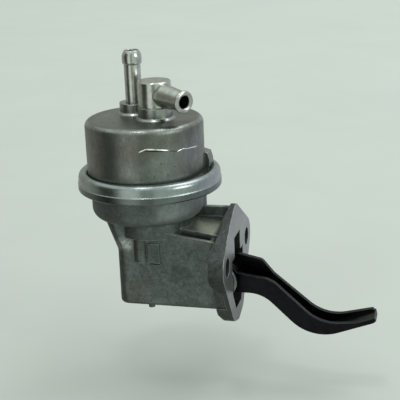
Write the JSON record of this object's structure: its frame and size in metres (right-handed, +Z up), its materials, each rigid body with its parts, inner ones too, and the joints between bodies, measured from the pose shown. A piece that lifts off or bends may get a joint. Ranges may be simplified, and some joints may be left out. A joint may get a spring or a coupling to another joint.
{
  "type": "mechanical fuel pump",
  "caption": "Mechanical diaphragm fuel pump with a cast body, a crimped drum cover, a two-hole flange, hose spigots and a sprung rocker lever.",
  "frame": {"origin": "midway between the two bolt holes, on the flange's machined face", "axes": "+X out of the flange's face towards the engine, +Z up along the diaphragm's axis to the cover, +Y across, along the line of the bolt holes"},
  "size_m": [0.1437, 0.069, 0.1341],
  "materials": {
    "cast_body": "die-cast, dull and mottled, with bare machined faces",
    "cast_cover": "die-cast, dull, with a brownish tint",
    "zinc_steel": "zinc-plated, smooth, bluish",
    "plated_steel": "bright plating, slightly worn",
    "black_steel": "black oxide, satin",
    "bare_steel": "plain, lightly oiled",
    "spring_steel": "drawn wire",
    "coated_cloth": "rubber-coated cloth",
    "seal_rubber": "moulded, matt",
    "plate_alloy": "die-cast, bare",
    "cage_brass": "pressed, bare",
    "valve_plastic": "moulded, matt"
  },
  "bodies": {
    "housing": {"lower_body": "cast_body", "upper_cover": "cast_cover", "crimp_ring": "zinc_steel", "outlet_tube": "plated_steel", "inlet_elbow": "plated_steel", "inlet_nozzle": "plated_steel", "diaphragm": "coated_cloth", "seal_retainer": "bare_steel", "oil_seal": "seal_rubber", "diaphragm_spring": "spring_steel", "pivot_pin": "bare_steel", "pin_plug": "bare_steel", "near_washer": "bare_steel", "far_washer": "bare_steel", "return_spring": "spring_steel", "valve_plate": "plate_alloy", "inlet_valve_cage": "cage_brass", "inlet_valve_spring": "spring_steel", "outlet_valve_cage": "cage_brass", "outlet_valve_spring": "spring_steel"},
    "lever": {"rocker_lever": "black_steel", "lever_bush": "bare_steel"},
    "link": {"inner_link": "bare_steel"},
    "rod": {"pull_rod": "bare_steel", "upper_plate": "bare_steel", "lower_plate": "bare_steel"},
    "inlet_flap": {"inlet_valve_disc": "valve_plastic"},
    "outlet_flap": {"outlet_valve_disc": "valve_plastic"}
  },
  "joints": [
    {"name": "lever_pivot", "type": "hinge", "parent": "housing", "child": "lever", "pos_m": [-0.0058, 0, -0.0121], "axis": [0, -1, 0], "range_deg": [0, 6], "stiffness_Nm_per_rad": 2, "springref_deg": -5.73, "deforming": ["return_spring"]},
    {"name": "link_pivot", "type": "hinge", "parent": "housing", "child": "link", "pos_m": [-0.0058, 0, -0.0121], "axis": [0, -1, 0], "range_deg": [0, 6]},
    {"name": "rod_slide", "type": "slide", "parent": "housing", "child": "rod", "axis": [0, 0, 1], "range_m": [-0.00385, 0], "deforming": ["diaphragm_spring", "diaphragm"]},
    {"name": "inlet_valve_lift", "type": "slide", "parent": "housing", "child": "inlet_flap", "axis": [0, 0, -1], "range_m": [0, 0.001], "stiffness_N_per_m": 50, "springref_m": -0.0005, "deforming": ["inlet_valve_spring"]},
    {"name": "outlet_valve_lift", "type": "slide", "parent": "housing", "child": "outlet_flap", "axis": [0, 0, 1], "range_m": [0, 0.001], "stiffness_N_per_m": 50, "springref_m": -0.0005, "deforming": ["outlet_valve_spring"]}
  ],
  "couplings": [
    {"joint": "link_pivot", "follows": "lever_pivot", "ratio": 1},
    {"joint": "rod_slide", "follows": "lever_pivot", "m_per_rad": -0.0364}
  ]
}
